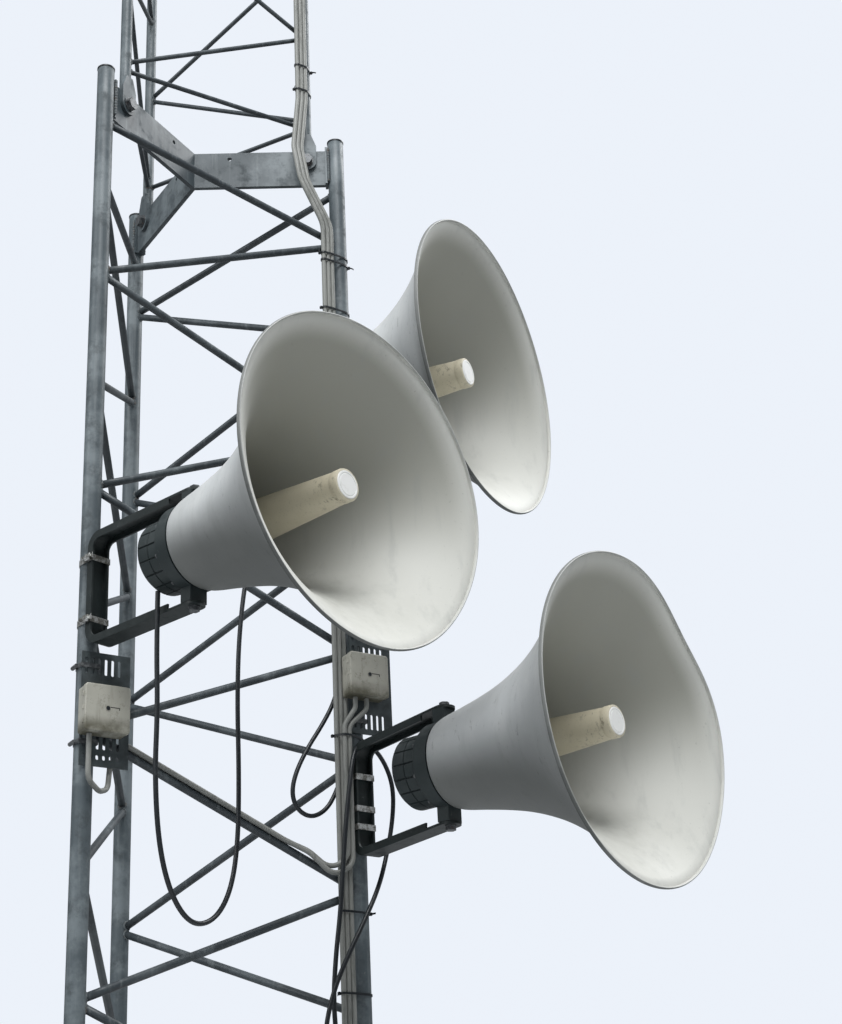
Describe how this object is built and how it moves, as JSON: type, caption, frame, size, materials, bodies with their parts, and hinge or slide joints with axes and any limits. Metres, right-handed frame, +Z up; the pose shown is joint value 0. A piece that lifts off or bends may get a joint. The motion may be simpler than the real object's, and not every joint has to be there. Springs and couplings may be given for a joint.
{
  "type": "civil defense siren tower",
  "caption": "Three-legged lattice mast with horn loudspeakers on pan brackets, junction boxes and cables, a narrower section bolted on top.",
  "frame": {"origin": "underside of the left leg's foot flange, on the leg's centre line", "axes": "+X from the left leg to the right leg along the front face, +Y towards the back leg, +Z up"},
  "size_m": [1.0869, 1.3555, 6.173],
  "materials": {
    "bell_paint": "satin light grey paint",
    "black_plastic": "matt",
    "bolt_steel": "dull zinc",
    "box_plastic": "matt, weathered",
    "cable_grey": "matt",
    "dark_housing": "matt dark grey",
    "mast_paint": "weathered grey-green paint over zinc",
    "plate_paint": "matt, weathered",
    "stainless": "brushed",
    "tube_cream": "matt cream plastic",
    "yoke_paint": "matt dark paint"
  },
  "bodies": {
    "mast": {"band_clamps": "stainless", "black_cables": "black_plastic", "black_cord_driver": "black_plastic", "black_cord_leg": "black_plastic", "black_cord_yoke": "black_plastic", "cable_ties": "black_plastic", "feet": "mast_paint", "grey_cables_chain": "cable_grey", "grey_cables_upper": "cable_grey", "junction_box_lids": "box_plastic", "junction_boxes": "box_plastic", "leg_caps": "black_plastic", "lower_bracing_front": "mast_paint", "lower_bracing_left": "mast_paint", "lower_bracing_right": "mast_paint", "lower_leg_back": "mast_paint", "lower_leg_left": "mast_paint", "lower_leg_right": "mast_paint", "pivot_bolts": "stainless", "plate_straps": "bolt_steel", "section_joint_bolts": "bolt_steel", "section_joint_plate": "mast_paint", "slotted_plates": "plate_paint", "upper_bracing_front": "mast_paint", "upper_bracing_left": "mast_paint", "upper_bracing_right": "mast_paint", "upper_leg_back": "mast_paint", "upper_leg_left": "mast_paint", "upper_leg_right": "mast_paint", "yoke_a": "yoke_paint", "yoke_b": "yoke_paint", "yoke_c": "yoke_paint", "yoke_saddles": "yoke_paint"},
    "horn_a": {"bell_a": "bell_paint", "driver_a": "dark_housing", "horn_tube_a": "tube_cream", "neck_ring_a": "dark_housing"},
    "horn_b": {"bell_b": "bell_paint", "driver_b": "dark_housing", "horn_tube_b": "tube_cream", "neck_ring_b": "dark_housing"},
    "horn_c": {"bell_c": "bell_paint", "driver_c": "dark_housing", "horn_tube_c": "tube_cream", "neck_ring_c": "dark_housing"}
  },
  "joints": [
    {"name": "horn_a_pan", "type": "hinge", "parent": "mast", "child": "horn_a", "pos_m": [0.08498, -0.28875, 2.882], "axis": [0, 0, 1], "range_deg": [-30, 0]},
    {"name": "horn_b_pan", "type": "hinge", "parent": "mast", "child": "horn_b", "pos_m": [0.40846, -0.12621, 3.292], "axis": [0, 0, 1], "range_deg": [0, 30]},
    {"name": "horn_c_pan", "type": "hinge", "parent": "mast", "child": "horn_c", "pos_m": [0.59362, -0.30007, 2.534], "axis": [0, 0, 1], "range_deg": [-15, 15]}
  ]
}
